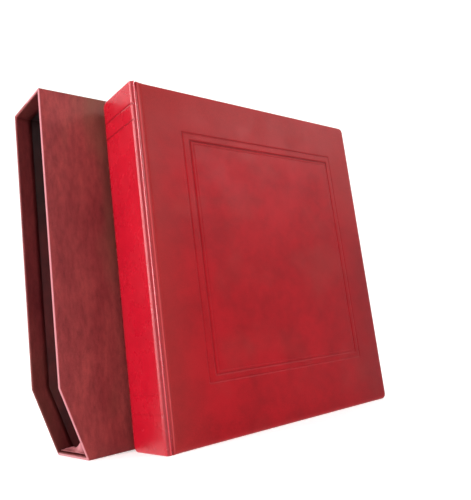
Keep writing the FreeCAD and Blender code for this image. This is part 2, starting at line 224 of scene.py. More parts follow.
# Steps over the edge: inset from the outline, and share of the way down to the inner face
COVER_WRAP = ((0.0, 0.35), (0.0, 0.7), (0.0, 0.93), (0.12, 0.99), (0.45, 1.0), (2.2, 1.0), (4.85, 1.0))

# Tones on the face: rubbed edges, tooling, and painted highlight, haze and shade
RUBBED_EDGE = 1.1                       # width of the rubbed outline
CREST_HIGHLIGHT = 0.5                      # and of the painted highlight on the crest beside the crease
CREST_HIGHLIGHT_BACK = 0.25                # from the end of the crease's flank
# Painted haze of sheen: where its clear middle sits, and how far out it fades in
HAZE_CENTRE = -8.0                   # clear middle, from the middle of the face
HAZE_HALF = 62.0
HAZE_REACH = 62.0                    # over which the duller border fades in
SHADED = 0.32                           # painted shade towards the lower fore-edge corner
EDGE_SHADED = 0.35                      # and more of it along the fore-edge
SHADE_ACROSS = (90.0, 130.0)            # where it starts from the spine, and its reach
SHADE_EDGE = (190.0, 40.0)
SHADE_DOWN = (40.0, 120.0)              # the same from the top
SHADE_CLEARS = 0.8                      # how far the shade clears the duller border

CREASE_AT = 7.4
CREASE_DEPTH = 0.28
CREASE_WIDTH = 1.1

# Blind-tooled frames on the front cover: left, right, low, high, depth and width of each line
FRAME_OUTER = (40.0, 206.0, 41.0, 227.0, 0.34, 0.55)
FRAME_INNER = (46.5, 201.0, 46.0, 221.0, 0.5, 0.7)
FRAME_THIRD = (49.2, 199.0, 48.6, 218.6, 0.16, 0.5)
SIDE_TOOLING = 0.3                      # how dark the tooling is at the sides and bottom, against the top
SIDE_TOOLING_FADE = (6.0, 4.0)          # where that starts below the top line, and its reach


def outline_distance(x, z):
    """Distance in from the cover's outline, and the outline's outward normal there."""
    middle_x = (COVER_SKIN_START + ALBUM_WIDTH) / 2
    middle_z = ALBUM_HEIGHT / 2
    radius = np.where(x > middle_x, COVER_CORNER, JOINT_CORNER)
    across = np.abs(x - middle_x) - ((ALBUM_WIDTH - COVER_SKIN_START) / 2 - radius)
    up = np.abs(z - middle_z) - (middle_z - radius)
    in_corner = (across > 0) & (up > 0)
    length = np.hypot(across, up) + 1e-12
    distance = radius - np.where(in_corner, length, np.maximum(across, up))
    normal_x = np.where(in_corner, across / length, (across >= up) * 1.0) * np.sign(x - middle_x)
    normal_z = np.where(in_corner, up / length, (up > across) * 1.0) * np.sign(z - middle_z)
    return distance, normal_x, normal_z


def rounded_corner(x, z):
    """Bends the square corners of the cover's grid on to its rounded outline."""
    for at_x, radius in ((ALBUM_WIDTH, COVER_CORNER), (COVER_SKIN_START, JOINT_CORNER)):
        for at_z in (0.0, ALBUM_HEIGHT):
            side_x = 1 if at_x == ALBUM_WIDTH else -1
            side_z = 1 if at_z else -1
            centre_x = at_x - side_x * radius
            centre_z = at_z - side_z * radius
            s = np.clip((x - centre_x) * side_x / radius, 0, 1)
            t = np.clip((z - centre_z) * side_z / radius, 0, 1)
            inside = (s > 0) & (t > 0)
            new_x = centre_x + side_x * radius * s * np.sqrt(1 - t * t / 2)
            new_z = centre_z + side_z * radius * t * np.sqrt(1 - s * s / 2)
            x = np.where(inside, new_x, x)
            z = np.where(inside, new_z, z)
    return x, z


def line_pressed(x, z, line):
    """How strongly a tooled rectangle presses the cover, from 0 to 1."""
    left, right, low, high, depth, width = line
    across = np.abs(x - (left + right) / 2) - (right - left) / 2
    up = np.abs(z - (low + high) / 2) - (high - low) / 2
    outside = np.hypot(np.maximum(across, 0), np.maximum(up, 0))
    distance = np.abs(outside + np.minimum(np.maximum(across, up), 0))
    return np.exp(-((distance / width) ** 2))


def cover_face_drop(x, z, distance, tooled):
    """Depth of the cover's face below its highest plane, and how strongly tooling presses it."""
    from_joint = smooth((x - COVER_SKIN_START - 1) / JOINT_EDGE_FADE)
    edge_radius = COVER_JOINT_RADIUS + (COVER_EDGE_RADIUS - COVER_JOINT_RADIUS) * from_joint
    from_side = np.clip(1 - (ALBUM_WIDTH - x) / COVER_CROWN_REACH, 0, 1) ** 2
    from_ends = np.clip(1 - np.minimum(z, ALBUM_HEIGHT - z) / COVER_CROWN_REACH, 0, 1) ** 2
    crown = COVER_CROWN * (1 - (1 - from_side) * (1 - from_ends))
    crease = CREASE_DEPTH * np.exp(-(((x - CREASE_AT) / CREASE_WIDTH) ** 2))
    flank = np.clip(JOINT_FLANK - (x - COVER_SKIN_START), 0, None)
    crest = np.minimum(flank, JOINT_FLANK_CREST)
    flank = crest * JOINT_FLANK_SLOPE + (flank - crest) * JOINT_FLANK_FOOT_SLOPE
    flank = np.hypot(flank, JOINT_FLANK_ROUNDING) - JOINT_FLANK_ROUNDING
    rounded = np.maximum(quarter_round(distance, edge_radius), flank)
    drop = COVER_FACE_DROP + rounded + crown + crease
    tooling_and_shade = np.zeros_like(x)
    if tooled:
        for line in (FRAME_OUTER, FRAME_INNER, FRAME_THIRD):
            strength = line_pressed(x, z, line)
            drop = drop + line[4] * strength
            near_top = smooth((z - line[3] + SIDE_TOOLING_FADE[0]) / SIDE_TOOLING_FADE[1])
            dark = SIDE_TOOLING + (1 - SIDE_TOOLING) * near_top
            tooling_and_shade = np.maximum(tooling_and_shade, strength * dark * line[4] / FRAME_INNER[4])
    return drop, tooling_and_shade


def grid_boundary(rows, columns):
    """Point numbers round the outside of a grid, in order."""
    index = np.arange(rows * columns).reshape(rows, columns)
    return np.concatenate([index[0, :-1], index[:-1, -1], index[-1, :0:-1], index[:0:-1, 0]])


def cover_tones(points, distance, tooling_and_shade):
    """How tooled or in painted shade, how rubbed or in painted highlight, and how far in painted haze each
    point of a cover's skin is.
    """
    x, z = points[:, 0], points[:, 2]
    # Painted highlight on the crest beside the crease, joined to the rubbed outline.
    crest_x = COVER_SKIN_START + JOINT_FLANK - CREST_HIGHLIGHT_BACK
    crest = np.exp(-(((x - crest_x) / CREST_HIGHLIGHT) ** 2))
    wear_and_highlight = np.maximum(np.exp(-np.maximum(distance, 0) / RUBBED_EDGE), crest)
    # Painted haze, paler and duller, over the border towards the top and the sides.
    middle_x = (COVER_SKIN_START + ALBUM_WIDTH) / 2 + HAZE_CENTRE
    off_x = np.clip(np.abs(x - middle_x) - HAZE_HALF, 0, None)
    off_z = np.clip(z - ALBUM_HEIGHT / 2 - HAZE_HALF, 0, None)
    painted_haze = smooth(np.hypot(off_x, off_z) / HAZE_REACH)
    # Painted shade towards the lower fore-edge corner, with more of it along the fore-edge.
    across = smooth((x - SHADE_ACROSS[0]) / SHADE_ACROSS[1])
    down = smooth((ALBUM_HEIGHT - SHADE_DOWN[0] - z) / SHADE_DOWN[1])
    at_edge = smooth((x - SHADE_EDGE[0]) / SHADE_EDGE[1])
    shade = across * down
    return {
        "tooling_and_shade": np.maximum(tooling_and_shade, (SHADED + EDGE_SHADED * at_edge) * shade),
        "wear_and_highlight": wear_and_highlight,
        "painted_haze": painted_haze * (1 - SHADE_CLEARS * shade),
    }


def cover_skin(name, side, tooled, seed):
    """Leatherette over a cover's padded board, wrapped round its edges and turned in on its inner face."""
    marks_x = [COVER_SKIN_START + 0.9, CREASE_AT]
    marks_z = []
    if tooled:
        for left, right, low, high, _, _ in (FRAME_OUTER, FRAME_INNER, FRAME_THIRD):
            marks_x += [left, right]
            marks_z += [low, high]
    line_x = levels(COVER_SKIN_START, ALBUM_WIDTH, COVER_GRID, marks_x, rounding=COVER_EDGE_RADIUS)
    line_z = levels(0.0, ALBUM_HEIGHT, COVER_GRID, marks_z, rounding=COVER_EDGE_RADIUS)
    x, z = np.meshgrid(line_x, line_z)
    x, z = rounded_corner(x, z)
    distance, _, _ = outline_distance(x, z)
    drop, tooling_and_shade = cover_face_drop(x, z, np.maximum(distance, 0), tooled)
    flat = np.stack([x, np.zeros_like(x), z], -1)
    broad = waviness(flat, BROAD_WAVE[0], seed) * BROAD_WAVE[1]
    small = waviness(flat, SMALL_WAVE[0], seed + 5) * SMALL_WAVE[1]
    drop = drop + (broad + small + WAVE_DROP) * smooth(distance / WAVE_EDGE)
    face = np.stack([x, drop - ALBUM_HALF, z], -1).reshape(-1, 3)
    rows, columns = x.shape
    loop = grid_boundary(rows, columns)
    edge = face[loop]
    _, normal_x, normal_z = outline_distance(edge[:, 0], edge[:, 2])
    inner_face = COVER_INNER + TURN_IN_RISE
    points = [face]
    for inset, down in COVER_WRAP:
        ring = edge.copy()
        ring[:, 0] -= normal_x * inset
        ring[:, 2] -= normal_z * inset
        ring[:, 1] = edge[:, 1] + (inner_face - edge[:, 1]) * down
        points.append(ring)
    outer = np.concatenate(points)
    count = len(outer)
    faces = [quads(np.arange(rows * columns).reshape(rows, columns))]
    previous = loop
    for step in range(len(COVER_WRAP)):
        ring = np.arange(len(loop)) + rows * columns + step * len(loop)
        faces.append(strip_faces(previous, ring, True))
        previous = ring
    inner = outer.copy()
    distance, normal_x, normal_z = outline_distance(outer[:, 0], outer[:, 2])
    inward = np.maximum(0, COVER_SKIN + 0.05 - distance)
    inner[:, 0] -= normal_x * inward
    inner[:, 2] -= normal_z * inward
    inner[:, 1] = np.minimum(outer[:, 1] + COVER_SKIN, COVER_INNER + 0.01)
    sheet = np.concatenate(faces)
    border = strip_faces(previous, previous + count, True)
    everything = np.concatenate([sheet, sheet[:, ::-1] + count, border])
    wrapped = np.zeros(count)
    wrapped[: rows * columns] = tooling_and_shade.ravel()
    tones = cover_tones(outer, distance, wrapped)
    values = {key: np.tile(numbers, 2) for key, numbers in tones.items()}
    points = np.concatenate([outer, inner])
    points[:, 1] *= side
    return make_piece(name, album_place(points), everything, values)


# ------------------------------------------------------------------------------------ album spine
SPINE_SKIN = 0.7
SPINE_END_RADIUS = 1.3
SPINE_SHOULDER_END_RADIUS = 4.2
SPINE_CORE_X = SPINE_INSIDE - 0.15
SPINE_CORE_INSET = 3.6                          # of the line that the skin thins towards, from each face
RIDGE_X = 2.7                                   # crest beside the crease
TOOL_LINES = ((17.5, 0.42), (30.0, 0.42))       # below the top edge, and their depth
FAINT_LINES = ((26.0, 0.11), (39.0, 0.09))      # above the bottom edge
TOOL_LINE_WIDTH = 0.6
HOLLOW_X = 1.55                                 # painted shade in the hollow between the shoulder and its ridge
HOLLOW_WIDTH = 0.85
HOLLOW_SHADE = 0.75
# Painted highlight on the ridge beside the crease: its width and strength
RIDGE_WIDTH = 0.3
RIDGE_HIGHLIGHT = 0.6
SPINE_WAVE = (30.0, 0.09)                       # size and height


def smooth_path(knots, per_span):
    """A Catmull-Rom curve through the knots."""
    knots = np.array(knots, float)
    padded = np.vstack([2 * knots[0] - knots[1], knots, 2 * knots[-1] - knots[-2]])
    points = []
    for i in range(1, len(padded) - 2):
        before, start, end, after = padded[i - 1: i + 3]
        for t in np.linspace(0, 1, per_span, endpoint=False):
            bend = 2 * before - 5 * start + 4 * end - after
            twist = 3 * start - before - 3 * end + after
            points.append(0.5 * (2 * start + (end - before) * t + bend * t**2 + twist * t**3))
    return np.array(points + [knots[-1]])


def spine_profile():
    """Section of the spine's leatherette, from the front crease round to the back one."""
    half = ALBUM_HALF
    front = [
        (CREASE_X - 0.75, -half + 2.2), (CREASE_X - 0.75, -half + 1.3), (CREASE_X - 1.0, -half + 0.35),
        (2.85, -half + 0.03), (2.66, -half + 0.45), (2.42, -half + 0.85), (1.7, -half + 1.22),
        (0.95, -half + 1.72), (0.45, -half + 2.4), (0.05, -half + 3.55), (0.02, -half + 5.2),
        (0.02, -half + 10.0), (0.0, -half + 16.0), (0.0, 0.0),
    ]
    back = [
        (0.02, half - 15.0), (0.1, half - 9.0), (0.35, half - 5.4), (0.9, half - 3.3), (1.55, half - 1.9),
        (2.2, half - 0.75), (2.8, half - 0.1), (CREASE_X - 0.95, half - 0.45), (CREASE_X - 0.7, half - 1.3),
        (CREASE_X - 0.75, half - 2.2),
    ]
    return smooth_path(front + back, 5)


def spine_skin():
    profile = spine_profile()
    x, y = profile[:, 0], profile[:, 1]
    core_half = ALBUM_HALF - SPINE_CORE_INSET
    core = np.stack([np.full_like(x, SPINE_CORE_X), np.clip(y, -core_half, core_half)], -1)
    # Painted highlight on the ridge beside the crease.
    ridge = np.exp(-(((x - RIDGE_X) / RIDGE_WIDTH) ** 2)) * (np.abs(y) > ALBUM_HALF - 0.8)
    reach = np.hypot(*(core - profile).T)
    toward = (core - profile) / np.maximum(reach, 1e-6)[:, None]
    shoulder = smooth((np.abs(y) - ALBUM_HALF + 7.5) / 5)
    end_radius = SPINE_END_RADIUS + (SPINE_SHOULDER_END_RADIUS - SPINE_END_RADIUS) * shoulder * (y > 0)
    marks = [ALBUM_HEIGHT - z for z, _ in TOOL_LINES] + [z for z, _ in FAINT_LINES]
    low, high = SPINE_SHOULDER_END_RADIUS, ALBUM_HEIGHT - SPINE_SHOULDER_END_RADIUS
    heights = levels(low, high, 3.4, marks, fine=0.25)
    on_face = smooth((y + ALBUM_HALF - 1.0) / 1.2) * smooth((ALBUM_HALF - y - 1.0) / 1.2)
    rows = []
    tooling_and_shade = []

    def add_row(move, z, press=0.0):
        spot = profile + toward * np.minimum(move, reach)[:, None]
        rows.append(np.column_stack([spot[:, 0], spot[:, 1], np.broadcast_to(z, x.shape)]))
        tooling_and_shade.append(np.broadcast_to(press, x.shape) * on_face)

    rounding = np.radians(np.linspace(90, 0, 9))
    add_row(reach, 0.0)
    add_row((end_radius + reach) / 2, 0.0)
    for angle in rounding:
        add_row(end_radius * (1 - math.cos(angle)), end_radius * (1 - math.sin(angle)))
    for z in heights:
        press = np.zeros(len(x))
        for below, depth in TOOL_LINES:
            press = press + depth * math.exp(-(((z - ALBUM_HEIGHT + below) / TOOL_LINE_WIDTH) ** 2))
        for above, depth in FAINT_LINES:
            press = press + depth * math.exp(-(((z - above) / TOOL_LINE_WIDTH) ** 2))
        face = np.column_stack([x, y, np.full_like(x, z)])
        uneven = (waviness(face, SPINE_WAVE[0], 11.3) + 0.6) * SPINE_WAVE[1] * on_face
        add_row(press * on_face + uneven, z, press / TOOL_LINES[0][1])
    for angle in rounding[::-1]:
        add_row(end_radius * (1 - math.cos(angle)), ALBUM_HEIGHT - end_radius * (1 - math.sin(angle)))
    add_row((end_radius + reach) / 2, ALBUM_HEIGHT)
    add_row(reach, ALBUM_HEIGHT)
    outer = np.array(rows)
    left = np.hypot(core[:, 0] - outer[..., 0], core[:, 1] - outer[..., 1])
    inner = outer.copy()
    inner[..., :2] += toward * np.minimum(SPINE_SKIN, np.maximum(left - 0.05, 0))[..., None]
    inner[..., 2] = np.clip(outer[..., 2], SPINE_SKIN, ALBUM_HEIGHT - SPINE_SKIN)
    distance = np.minimum(outer[..., 2], ALBUM_HEIGHT - outer[..., 2])
    # Rubbed ends, and the painted highlight on the ridge.
    wear_and_highlight = np.maximum(np.exp(-distance / 0.9), ridge[None] * RIDGE_HIGHLIGHT)
    # Painted shade in the hollow between the shoulder and its ridge.
    hollow = np.exp(-(((x - HOLLOW_X) / HOLLOW_WIDTH) ** 4)) * (y < 2.2 - ALBUM_HALF)
    tooling_and_shade = np.maximum(np.array(tooling_and_shade), HOLLOW_SHADE * hollow[None])
    values = {"tooling_and_shade": tooling_and_shade, "wear_and_highlight": wear_and_highlight}
    return shell("spine_skin", album_place(outer), album_place(inner), values=values)


def spine_core():
    """The spine's board, inside the skin and up to the lining."""
    profile = spine_profile()
    kept = profile[np.abs(profile[:, 1]) < ALBUM_HALF - 1.9]
    kept = kept[kept[:, 0] < SPINE_BACK - 0.9]
    front = np.column_stack([kept[:, 0] + SPINE_SKIN + 0.05, kept[:, 1] * (1 - 0.6 / ALBUM_HALF)])
    back = np.column_stack([np.full(len(front), SPINE_BACK), front[:, 1]])
    heights = np.linspace(SPINE_SKIN + 0.1, ALBUM_HEIGHT - SPINE_SKIN - 0.1, 24)
    outer = np.array([np.column_stack([front, np.full(len(front), z)]) for z in heights])
    inner = np.array([np.column_stack([back, np.full(len(back), z)]) for z in heights])
    return shell("spine_core", album_place(outer), album_place(inner))


# ------------------------------------------------------------------------------------ album joints
JOINT_STRIP = 0.6
HINGE_CLOTH = 0.22
CLOTH_UP_SPINE = 4.5
CLOTH_OVER_PAPER = 4.0


def joint_skin(name, side):
    """Leatherette at the bottom of the crease."""
    half = ALBUM_HALF
    path = smooth_path(
        [
            (CREASE_X - 1.2, -half + 1.75), (CREASE_X - 0.6, -half + 1.35), (CREASE_X, -half + 1.25),
            (CREASE_X + 0.6, -half + 1.35), (CREASE_X + 1.2, -half + 1.75),
        ],
        7,
    )
    heights = np.linspace(0.75, ALBUM_HEIGHT - 0.75, 40)
    outer = np.array([np.column_stack([path, np.full(len(path), z)]) for z in heights])
    inner = outer + np.array([0.0, JOINT_STRIP, 0.0])
    for grid in (outer, inner):
        grid[..., 1] *= side
    # Painted shade at the bottom of the crease.
    flat = {"tooling_and_shade": np.full(outer.shape[:2], 0.3), "wear_and_highlight": np.zeros(outer.shape[:2])}
    return shell(name, album_place(outer), album_place(inner), values=flat)


def hinge_cloth(name, side):
    """Cloth inside the joint, from the spine's lining round the corner on to the cover's inner face."""
    start_y = COVER_INNER + CLOTH_UP_SPINE
    corner_y = ENDPAPER_INNER
    over = SPINE_INSIDE + 0.02
    path = smooth_path(
        [
            (over, start_y), (over, start_y - 2.0), (over + 0.05, corner_y + 0.5),
            (over + 0.35, corner_y + 0.12), (CREASE_X + 0.1, corner_y + 0.04),
            (CREASE_X + 1.0, corner_y + 0.02), (ENDPAPER_START, corner_y + 0.02),
            (ENDPAPER_START + CLOTH_OVER_PAPER, corner_y + 0.02),
        ],
        6,
    )
    tangent = np.gradient(path, axis=0)
    tangent /= np.hypot(*tangent.T)[:, None]
    normal = np.column_stack([-tangent[:, 1], tangent[:, 0]])
    heights = np.linspace(2.0, ALBUM_HEIGHT - 2.0, 30)
    lift = HINGE_CLOTH * smooth(np.minimum(np.arange(len(path)), np.arange(len(path))[::-1]) / 3) + 0.03
    top = path + normal * lift[:, None]
    outer = np.array([np.column_stack([top, np.full(len(path), z)]) for z in heights])
    inner = np.array([np.column_stack([path, np.full(len(path), z)]) for z in heights])
    for grid in (outer, inner):
        grid[..., 1] *= side
    return shell(name, album_place(outer), album_place(inner))


# ------------------------------------------------------------------------------------ slipcase
CASE_CORNER = 1.2
CASE_END_RADIUS = 1.3
CASE_SKIN = 0.38
CASE_CUT_HEIGHT = 51.0
CASE_TURN_IN = 12.4
CASE_TURN_IN_INSET = CASE_TURN_IN_LOW[1] - CASE_LOW[1] + 0.3
FLAP_LENGTH = 9.0
FLAP_PEAK = 5.5
FLAP_PEAK_AT = 0.42                     # share of the way across
FLAP_REST = 0.9                         # above the turn-in beneath it
FLAP_END = 0.12
CASE_PANEL_ROWS = 46
CASE_CALM = 14.0                        # border of the panels that stays flat
CASE_DISH = 0.22                        # the panels' hollow
CASE_BROAD_WAVE = (48.0, 0.3)           # size and height
CASE_SMALL_WAVE = (15.0, 0.06)

# Round the mouth's rim: x from the edge, and share of the wall from its outside
RIM_SECTION = ((0.7, 1.0), (0.25, 0.95), (0.03, 0.8), (0.0, 0.5), (0.03, 0.2), (0.25, 0.05), (0.8, 0.0))


def case_loop(inset):
    """Points round the slipcase's section, from the lower front corner up, over and back."""
    radius = min(max(CASE_CORNER - inset, 0.25), CASE_DEPTH / 2 - inset)
    near, far = inset, CASE_DEPTH - inset
    low, high = inset, CASE_HEIGHT - inset
    points = []

    def side(a, b, count):
        for t in np.linspace(0, 1, count, endpoint=False):
            points.append((a[0] + (b[0] - a[0]) * t, a[1] + (b[1] - a[1]) * t))

    def corner(y, z, start):
        for angle in np.radians(np.linspace(start, start - 90, 5)[:-1]):
            points.append((y + radius * math.cos(angle), z + radius * math.sin(angle)))

    side((near, low + radius), (near, CASE_CUT_HEIGHT), 14)
    side((near, CASE_CUT_HEIGHT), (near, high - radius), 50)
    corner(near + radius, high - radius, 180)
    side((near + radius, high), (far - radius, high), 13)
    corner(far - radius, high - radius, 90)
    side((far, high - radius), (far, CASE_CUT_HEIGHT), 50)
    side((far, CASE_CUT_HEIGHT), (far, low + radius), 14)
    corner(far - radius, low + radius, 0)
    side((far - radius, low), (near + radius, low), 13)
    corner(near + radius, low + radius, 270)
    return np.array(points)


def case_row(x, inset, from_mouth):
    """One row of the slipcase's skin: x runs from the mouth's edge or from the frame's own zero."""
    loop = case_loop(inset)
    mouth = np.maximum(0, CASE_CUT_WIDTH * (1 - loop[:, 1] / CASE_CUT_HEIGHT))
    along = mouth + x if from_mouth else np.full(len(loop), x)
    return np.column_stack([along, loop])


def case_skin():
    """The slipcase's leatherette: turned in at the mouth, over the rim, the panels and the closed end."""
    inner_inset = CASE_TURN_IN_INSET
    places = [(x, inner_inset, True) for x in (CASE_TURN_IN, 9.0, 6.0, 3.0, 1.3)]
    places += [(x, inner_inset * share, True) for x, share in RIM_SECTION]
    rows = [case_row(*place) for place in places]
    start = case_row(0.8, 0.0, True)
    finish = case_row(CASE_LENGTH - CASE_END_RADIUS, 0.0, False)
    for t in np.linspace(0, 1, CASE_PANEL_ROWS)[1:]:
        rows.append(start + (finish - start) * t)
    for angle in np.radians(np.arange(15, 91, 15)):
        inset = CASE_END_RADIUS * (1 - math.cos(angle))
        rows.append(case_row(CASE_LENGTH - CASE_END_RADIUS * (1 - math.sin(angle)), inset, False))
    for inset in (3.0, 8.0, 15.0, 22.0, CASE_DEPTH / 2):
        rows.append(case_row(CASE_LENGTH, inset, False))
    outer = np.array(rows)
    outline = case_loop(0.0)
    loop_normal = np.zeros((len(outline), 3))
    loop_normal[:, 1] = (outline[:, 0] > CASE_DEPTH - 0.01) * 1.0 - (outline[:, 0] < 0.01)
    loop_normal[:, 2] = (outline[:, 1] > CASE_HEIGHT - 0.01) * 1.0 - (outline[:, 1] < 0.01)
    first_outer, last_outer = len(places), len(places) + CASE_PANEL_ROWS - 1
    panel = slice(first_outer, last_outer)
    edge_y = np.minimum(outer[panel, :, 1], CASE_DEPTH - outer[panel, :, 1])
    edge_z = np.minimum(outer[panel, :, 2], CASE_HEIGHT - outer[panel, :, 2])
    edge_x = np.minimum(outer[panel, :, 0], CASE_LENGTH - outer[panel, :, 0])
    calm = smooth(np.maximum(edge_y, edge_z) / CASE_CALM) * smooth(edge_x / CASE_CALM)
    broad = waviness(outer[panel], CASE_BROAD_WAVE[0], 3.1) * CASE_BROAD_WAVE[1]
    small = waviness(outer[panel], CASE_SMALL_WAVE[0], 8.7) * CASE_SMALL_WAVE[1]
    outer[panel] -= loop_normal[None] * ((CASE_DISH + broad + small) * calm)[..., None]
    inner = solid_offset(outer, CASE_SKIN)
    inner[-1] = outer[-1] - np.array([CASE_SKIN, 0.0, 0.0])
    depth = np.zeros(outer.shape[:2])
    wear_and_highlight = np.zeros(outer.shape[:2])
    rim = len(places) - len(RIM_SECTION)
    # Painted shade on the turn-in and the inside of the rim, darker towards the top.
    depth[: rim + 1] = 0.6 + 0.25 * smooth((outer[: rim + 1, :, 2] - 150.0) / 90.0)
    depth[rim + 1: rim + 3] = 0.6
    # Rubbed rim, with a painted highlight on its outer corner along the near panel and the bottom.
    near = (outer[0, :, 1] < CASE_DEPTH / 2) | (outer[0, :, 2] < 2 * CASE_WALL)
    wear_and_highlight[rim + 3: rim + 6] = np.where(near, 1.0, 0.2)
    values = {"tooling_and_shade": depth, "wear_and_highlight": wear_and_highlight}
    return shell("slipcase_skin", case_place(outer), case_place(inner), True, values, merged_end=True)


def case_flap():
    """A loose corner of the turn-in, crinkled and sticking up inside the mouth's lower corner."""
    across = np.linspace(0, 1, 40)
    along = np.linspace(0, 1, 16)
    v, u = np.meshgrid(across, along)
    floor = CASE_WALL + 0.45
    peak = np.exp(-(((v - FLAP_PEAK_AT) / 0.09) ** 2)) * FLAP_PEAK
    fold = np.sin(v * 21.0 + u * 5.0) * 0.5 + np.sin(v * 9.0 - u * 7.0) * 0.6
    taper = smooth(v / FLAP_END) * smooth((1 - v) / FLAP_END)
    height = floor + FLAP_REST + (peak + 1.4 + fold) * np.sin(u * math.pi) ** 1.5 * taper
    x = CASE_CUT_WIDTH + 1.2 + u * FLAP_LENGTH + peak * 0.25 * u
    y = CASE_WALL + 0.6 + v * (CASE_DEPTH - 2 * CASE_WALL - 1.2)
    outer = np.stack([x, y, height], -1)
    inner = outer - np.array([0.0, 0.0, 0.4])
    values = {"tooling_and_shade": np.zeros(u.shape), "wear_and_highlight": np.clip(0.35 + (height - floor - FLAP_REST) / 5, 0, 1)}
    return shell("slipcase_flap", case_place(outer), case_place(inner), values=values)


def solid_offset(grid, thickness):
    """The other face of a sheet that closes on itself across its columns."""
    along = np.gradient(grid, axis=0)
    around = np.roll(grid, -1, axis=1) - np.roll(grid, 1, axis=1)
    normal = np.cross(along, around)
    length = np.linalg.norm(normal, axis=-1, keepdims=True)
    normal = normal / np.maximum(length, 1e-9)
    middle_row = len(grid) // 2
    centre = np.array([0, CASE_DEPTH / 2, CASE_HEIGHT / 2])
    outward = ((grid[middle_row] - centre) * normal[middle_row])[:, 1:].sum()
    return grid - np.sign(outward) * normal * thickness


# ------------------------------------------------------------------------------------ materials
class Finish:
    """Builds one material's nodes."""

    def __init__(self, name):
        self.material = bpy.data.materials.new(name)
        self.material.use_nodes = True
        self.tree = self.material.node_tree
        self.shader = self.tree.nodes["Principled BSDF"]
        self.place = self.node("ShaderNodeTexCoord").outputs["Object"]

    def node(self, kind, inputs=None, **settings):
        made = self.tree.nodes.new(kind)
        for key, value in settings.items():
            setattr(made, key, value)
        for key, value in (inputs or {}).items():
            if isinstance(value, bpy.types.NodeSocket):
                self.tree.links.new(value, made.inputs[key])
            else:
                made.inputs[key].default_value = value
        return made

    def stretched(self, scale):
        return self.node("ShaderNodeMapping", {"Vector": self.place, "Scale": scale}).outputs["Vector"]

    def noise(self, per_metre, detail=3.0, rough=0.5, at=None, shift=0.0):
        spot = self.node("ShaderNodeVectorMath", {0: at or self.place, 1: (shift, shift, shift)})
        inputs = {"Vector": spot.outputs[0], "Scale": per_metre, "Detail": detail, "Roughness": rough}
        return self.node("ShaderNodeTexNoise", inputs).outputs["Fac"]

    def ramp(self, value, low, high, to_low=0.0, to_high=1.0):
        inputs = {"Value": value, "From Min": low, "From Max": high, "To Min": to_low, "To Max": to_high}
        return self.node("ShaderNodeMapRange", inputs).outputs["Result"]

    def mix(self, share, a, b, blend="MIX"):
        made = self.node("ShaderNodeMix", data_type="RGBA", blend_type=blend)
        sockets = [s for s in made.inputs if s.enabled]
        for socket, value in zip(sockets, (share, a, b)):
            if isinstance(value, bpy.types.NodeSocket):
                self.tree.links.new(value, socket)
            else:
                socket.default_value = value
        return [s for s in made.outputs if s.enabled][0]

    def maths(self, kind, a, b=0.0):
        return self.node("ShaderNodeMath", {0: a, 1: b}, operation=kind).outputs[0]

    def attribute(self, name):
        return self.node("ShaderNodeAttribute", attribute_name=name).outputs["Fac"]

    def bump(self, height, strength, distance, after=None):
        inputs = {"Height": height, "Strength": strength, "Distance": distance}
        if after is not None:
            inputs["Normal"] = after
        return self.node("ShaderNodeBump", inputs).outputs["Normal"]

    def set(self, **values):
        for key, value in values.items():
            socket = self.shader.inputs[key.replace("_", " ")]
            if isinstance(value, bpy.types.NodeSocket):
                self.tree.links.new(value, socket)
            else:
                socket.default_value = value
        return self.material


def colour(red, green, blue):
    """A display colour, 0 to 255, as the shader's linear one."""
    parts = [c / 255 for c in (red, green, blue)]
    linear = [c / 12.92 if c <= 0.04045 else ((c + 0.055) / 1.055) ** 2.4 for c in parts]
    return (*linear, 1.0)


RUBBED_SMOOTHER = 0.12                  # rubbed edges are shinier


def leatherette(
    name, deep, clear, patch, tooled, edge, rough, shine, patches=0.5, streak=1.0, fine=0.0, pebble=1.0
):
    """Imitation leather: mottling, duller patches, a fine pebble, dark tooling and painted shade, paler
    rubbed edges and painted highlights, and a painted haze.
    """
    f = Finish(name)
    spot = f.stretched((1.0, 1.0, 1.0 / streak))
    broad = f.noise(30.0, 2.5, 0.5, spot)
    small = f.noise(110.0, 3.0, 0.6, spot, 3.0)
    shade = f.maths("ADD", f.maths("MULTIPLY", broad, 0.6), f.maths("MULTIPLY", small, 0.4))
    tint = f.mix(f.ramp(shade, 0.37, 0.63), deep, clear)
    threads = f.ramp(f.noise(330.0, 4.0, 0.65, spot, 9.0), 0.4, 0.68, 0.0, fine)
    tint = f.mix(threads, tint, tooled)
    dull = f.ramp(f.noise(19.0, 3.0, 0.55, spot, 7.0), 0.5, 0.72, 0.0, patches)
    # Painted haze, in the duller patch colour.
    painted_haze = f.maths("MULTIPLY", f.attribute("painted_haze"), 0.7)
    tint = f.mix(f.maths("MAXIMUM", dull, painted_haze), tint, patch)
    speck = f.ramp(f.noise(1500.0, 2.0, 0.6), 0.3, 0.7, 0.86, 1.1)
    tint = f.mix(1.0, tint, speck, "MULTIPLY")
    # Tooling and painted shade, in the tooled colour.
    tint = f.mix(f.maths("MULTIPLY", f.attribute("tooling_and_shade"), 0.7), tint, tooled)
    # Rubbed edges and painted highlights, in the paler edge colour.
    tint = f.mix(f.maths("MULTIPLY", f.attribute("wear_and_highlight"), 0.45), tint, edge)
    cells = f.node("ShaderNodeTexVoronoi", {"Vector": f.place, "Scale": 1500.0}, feature="SMOOTH_F1")
    grain = f.bump(cells.outputs["Distance"], 0.16 * pebble, 0.0002)
    normal = f.bump(f.noise(260.0, 3.0, 0.6), 0.1 * pebble, 0.0005, grain)
    gloss = f.ramp(f.noise(45.0, 4.0, 0.6, spot, 1.0), 0.3, 0.7, rough - 0.05, rough + 0.06)
    rubbed = f.attribute("wear_and_highlight")
    gloss = f.maths("SUBTRACT", gloss, f.maths("MULTIPLY", rubbed, RUBBED_SMOOTHER))
    return f.set(Base_Color=tint, Roughness=gloss, Normal=normal, Specular_IOR_Level=shine)


